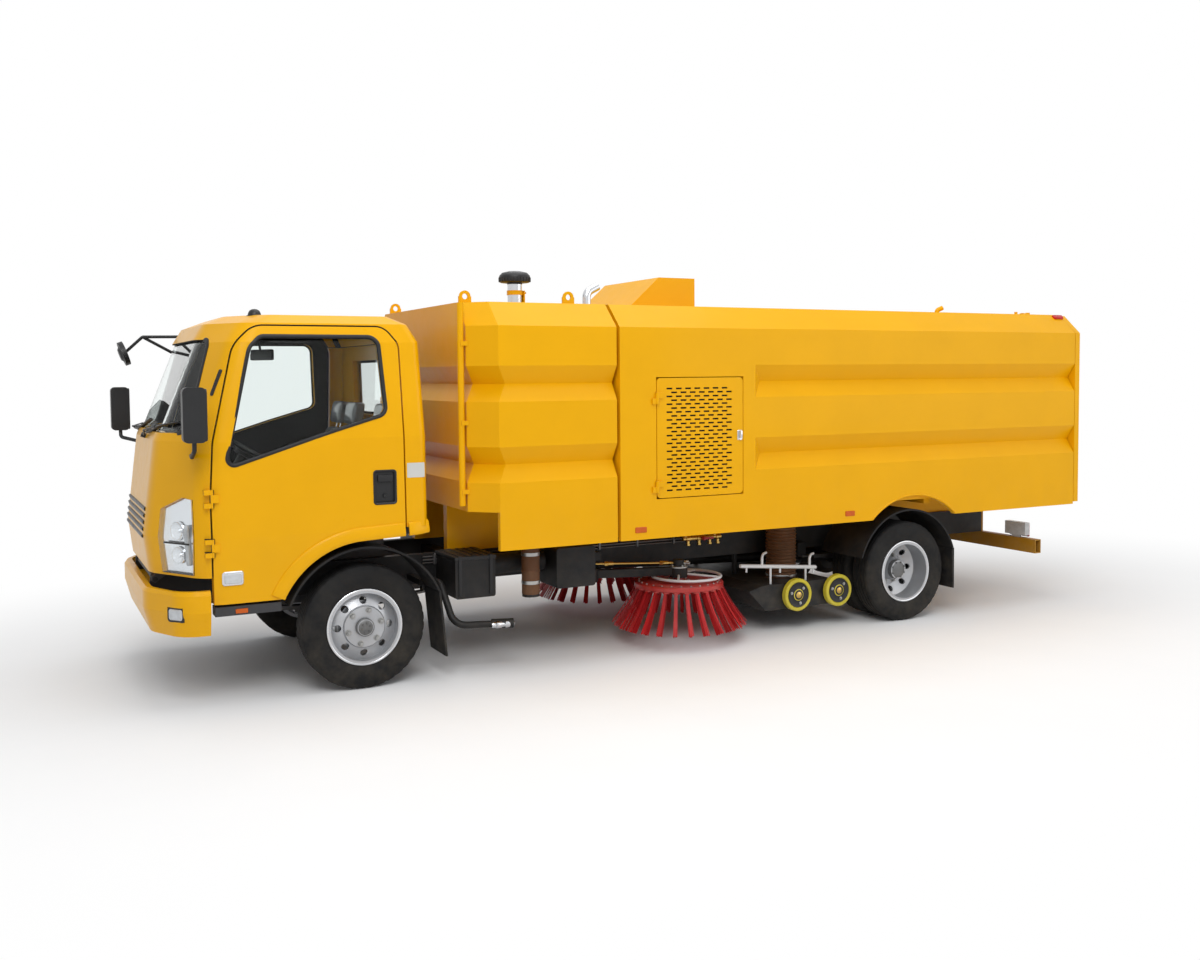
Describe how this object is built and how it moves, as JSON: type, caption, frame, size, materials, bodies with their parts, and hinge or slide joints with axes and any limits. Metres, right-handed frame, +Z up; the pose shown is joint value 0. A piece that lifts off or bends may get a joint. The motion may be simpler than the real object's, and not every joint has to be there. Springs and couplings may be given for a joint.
{
  "type": "street sweeper truck",
  "caption": "Cab-over street sweeper truck with a grooved tipping hopper, suction head, side brooms, slotted service door and twin rear wheels.",
  "frame": {"origin": "on the ground, half-way between the bumper and the tailgate, on the centre plane", "axes": "+X towards the rear, +Y towards the right-hand side, +Z up"},
  "size_m": [7.715, 2.4774, 2.7799],
  "materials": {
    "body_yellow": "gloss enamel",
    "chassis_black": "satin chassis paint",
    "cast_grey": "as cast",
    "spring_steel": "oiled steel",
    "tyre": "tread rubber",
    "wheel_silver": "silver enamel",
    "glass": "clear",
    "lamp_lens": "clear lens",
    "tail_lens": "lens and housing",
    "black_plastic": "grained",
    "interior_grey": "grained",
    "seat_fabric": "woven",
    "bristle_red": "polypropylene",
    "broom_steel": "satin",
    "mudguard_black": "grained",
    "pipe_steel": "polished",
    "hose_brown": "ribbed",
    "water_white": "smooth",
    "roller_yellow": "solid tyre",
    "bar_yellow": "enamel",
    "rod_chrome": "hard chrome"
  },
  "bodies": {
    "chassis": {"frame_rails": "chassis_black", "crossmembers": "chassis_black", "frame_brackets": "chassis_black", "leaf_springs": "spring_steel", "front_axle": "chassis_black", "rear_axle": "chassis_black", "engines": "cast_grey", "chassis_boxes": "chassis_black", "front_bumper": "body_yellow", "mudguards": "mudguard_black", "rear_bar": "bar_yellow", "tail_lamps": "tail_lens", "front_module": "body_yellow", "service_eyes": "body_yellow", "roof_pipes": "pipe_steel", "spray_nozzles": "pipe_steel", "suction_hose": "hose_brown"},
    "hopper": {"hopper_sides": "body_yellow", "hopper_roof": "body_yellow", "hopper_floor": "body_yellow", "hopper_bulkheads": "body_yellow", "roof_duct": "body_yellow"},
    "grille": {"grille_door": "body_yellow"},
    "tailgate": {"tailgate": "body_yellow"},
    "cab": {"cab_front": "body_yellow", "cab_rear": "body_yellow", "cab_roof": "body_yellow", "cab_floor": "interior_grey", "cab_glass": "glass", "headlamps": "lamp_lens", "seats": "seat_fabric", "dashboard": "interior_grey", "steering_wheel": "black_plastic", "mirrors": "black_plastic"},
    "door_left": {"door_left": "body_yellow", "door_glass_left": "glass"},
    "door_right": {"door_right": "body_yellow", "door_glass_right": "glass"},
    "pickup": {"pickup_head": "chassis_black", "spray_bar": "water_white"},
    "lift_barrels": {"lift_barrels": "chassis_black"},
    "lift_rods": {"lift_rods": "rod_chrome"},
    "knuckle_left": {"knuckle_left": "chassis_black"},
    "wheel_front_left": {"wheel_front_left": "wheel_silver", "tyre_front_left": "tyre"},
    "wheels_rear_left": {"wheels_rear_left": "wheel_silver", "tyres_rear_left": "tyre"},
    "broom_arm_left": {"broom_arm_left": "broom_steel"},
    "broom_left": {"broom_left": "bristle_red"},
    "pickup_wheel_front_left": {"pickup_wheel_front_left": "roller_yellow"},
    "pickup_wheel_rear_left": {"pickup_wheel_rear_left": "roller_yellow"},
    "knuckle_right": {"knuckle_right": "chassis_black"},
    "wheel_front_right": {"wheel_front_right": "wheel_silver", "tyre_front_right": "tyre"},
    "wheels_rear_right": {"wheels_rear_right": "wheel_silver", "tyres_rear_right": "tyre"},
    "broom_arm_right": {"broom_arm_right": "broom_steel"},
    "broom_right": {"broom_right": "bristle_red"},
    "pickup_wheel_front_right": {"pickup_wheel_front_right": "roller_yellow"},
    "pickup_wheel_rear_right": {"pickup_wheel_rear_right": "roller_yellow"}
  },
  "joints": [
    {"name": "cab_tilt", "type": "hinge", "parent": "chassis", "child": "cab", "pos_m": [-3.762, 0, 0.76], "axis": [0, -1, 0], "range_deg": [0, 45]},
    {"name": "door_left_hinge", "type": "hinge", "parent": "cab", "child": "door_left", "pos_m": [-3.485, -1.008, 1.3], "axis": [0, 0, -1], "range_deg": [0, 70]},
    {"name": "door_right_hinge", "type": "hinge", "parent": "cab", "child": "door_right", "pos_m": [-3.485, 1.008, 1.3], "axis": [0, 0, 1], "range_deg": [0, 70]},
    {"name": "hopper_tip", "type": "hinge", "parent": "chassis", "child": "hopper", "pos_m": [3.31, 0, 0.93], "axis": [0, 1, 0], "range_deg": [0, 45]},
    {"name": "tailgate_swing", "type": "hinge", "parent": "hopper", "child": "tailgate", "pos_m": [3.763, 0, 2.545], "axis": [0, -1, 0], "range_deg": [0, 80]},
    {"name": "grille_door_hinge", "type": "hinge", "parent": "hopper", "child": "grille", "pos_m": [-0.472, -1.16, 1.576], "axis": [0, 0, -1], "range_deg": [0, 100]},
    {"name": "lift_barrel_swing", "type": "hinge", "parent": "chassis", "child": "lift_barrels", "pos_m": [1.76, 0, 0.65], "axis": [0, -1, 0], "range_deg": [0, 14]},
    {"name": "lift_rod_slide", "type": "slide", "parent": "lift_barrels", "child": "lift_rods", "axis": [0.9578, 0, 0.2873], "range_m": [0, 0.32]},
    {"name": "pickup_lift", "type": "slide", "parent": "chassis", "child": "pickup", "axis": [0, 0, 1], "range_m": [-0.155, 0], "deforming": ["suction_hose"]},
    {"name": "steer_left", "type": "hinge", "parent": "chassis", "child": "knuckle_left", "pos_m": [-2.54, -0.715, 0.405], "axis": [0, 0, 1], "range_deg": [-35, 35]},
    {"name": "wheel_front_left_spin", "type": "hinge", "parent": "knuckle_left", "child": "wheel_front_left", "pos_m": [-2.54, -0.835, 0.405], "axis": [0, 1, 0], "continuous": true},
    {"name": "wheels_rear_left_spin", "type": "hinge", "parent": "chassis", "child": "wheels_rear_left", "pos_m": [1.935, -0.82, 0.405], "axis": [0, 1, 0], "continuous": true},
    {"name": "broom_arm_left_swing", "type": "hinge", "parent": "chassis", "child": "broom_arm_left", "pos_m": [-0.69, -0.52, 0.53], "axis": [0, 0.1483, -0.9889], "range_deg": [0, 25]},
    {"name": "broom_left_spin", "type": "hinge", "parent": "broom_arm_left", "child": "broom_left", "pos_m": [-0.035, -0.72, 0.3], "axis": [0, 0, 1], "continuous": true},
    {"name": "pickup_wheel_front_left_spin", "type": "hinge", "parent": "pickup", "child": "pickup_wheel_front_left", "pos_m": [0.923, -0.932, 0.29], "axis": [0, 1, 0], "continuous": true},
    {"name": "pickup_wheel_rear_left_spin", "type": "hinge", "parent": "pickup", "child": "pickup_wheel_rear_left", "pos_m": [1.323, -0.932, 0.29], "axis": [0, 1, 0], "continuous": true},
    {"name": "steer_right", "type": "hinge", "parent": "chassis", "child": "knuckle_right", "pos_m": [-2.54, 0.715, 0.405], "axis": [0, 0, 1], "range_deg": [-35, 35]},
    {"name": "wheel_front_right_spin", "type": "hinge", "parent": "knuckle_right", "child": "wheel_front_right", "pos_m": [-2.54, 0.835, 0.405], "axis": [0, 1, 0], "continuous": true},
    {"name": "wheels_rear_right_spin", "type": "hinge", "parent": "chassis", "child": "wheels_rear_right", "pos_m": [1.935, 0.82, 0.405], "axis": [0, 1, 0], "continuous": true},
    {"name": "broom_arm_right_swing", "type": "hinge", "parent": "chassis", "child": "broom_arm_right", "pos_m": [-0.69, 0.52, 0.53], "axis": [0, 0.1483, 0.9889], "range_deg": [0, 25]},
    {"name": "broom_right_spin", "type": "hinge", "parent": "broom_arm_right", "child": "broom_right", "pos_m": [-0.035, 0.72, 0.3], "axis": [0, 0, 1], "continuous": true},
    {"name": "pickup_wheel_front_right_spin", "type": "hinge", "parent": "pickup", "child": "pickup_wheel_front_right", "pos_m": [0.923, 0.932, 0.29], "axis": [0, 1, 0], "continuous": true},
    {"name": "pickup_wheel_rear_right_spin", "type": "hinge", "parent": "pickup", "child": "pickup_wheel_rear_right", "pos_m": [1.323, 0.932, 0.29], "axis": [0, 1, 0], "continuous": true}
  ],
  "couplings": [
    {"joint": "lift_barrel_swing", "follows": "hopper_tip", "ratio": 0.29925},
    {"joint": "lift_rod_slide", "follows": "hopper_tip", "m_per_rad": 0.40143},
    {"joint": "steer_right", "follows": "steer_left", "ratio": 1}
  ]
}
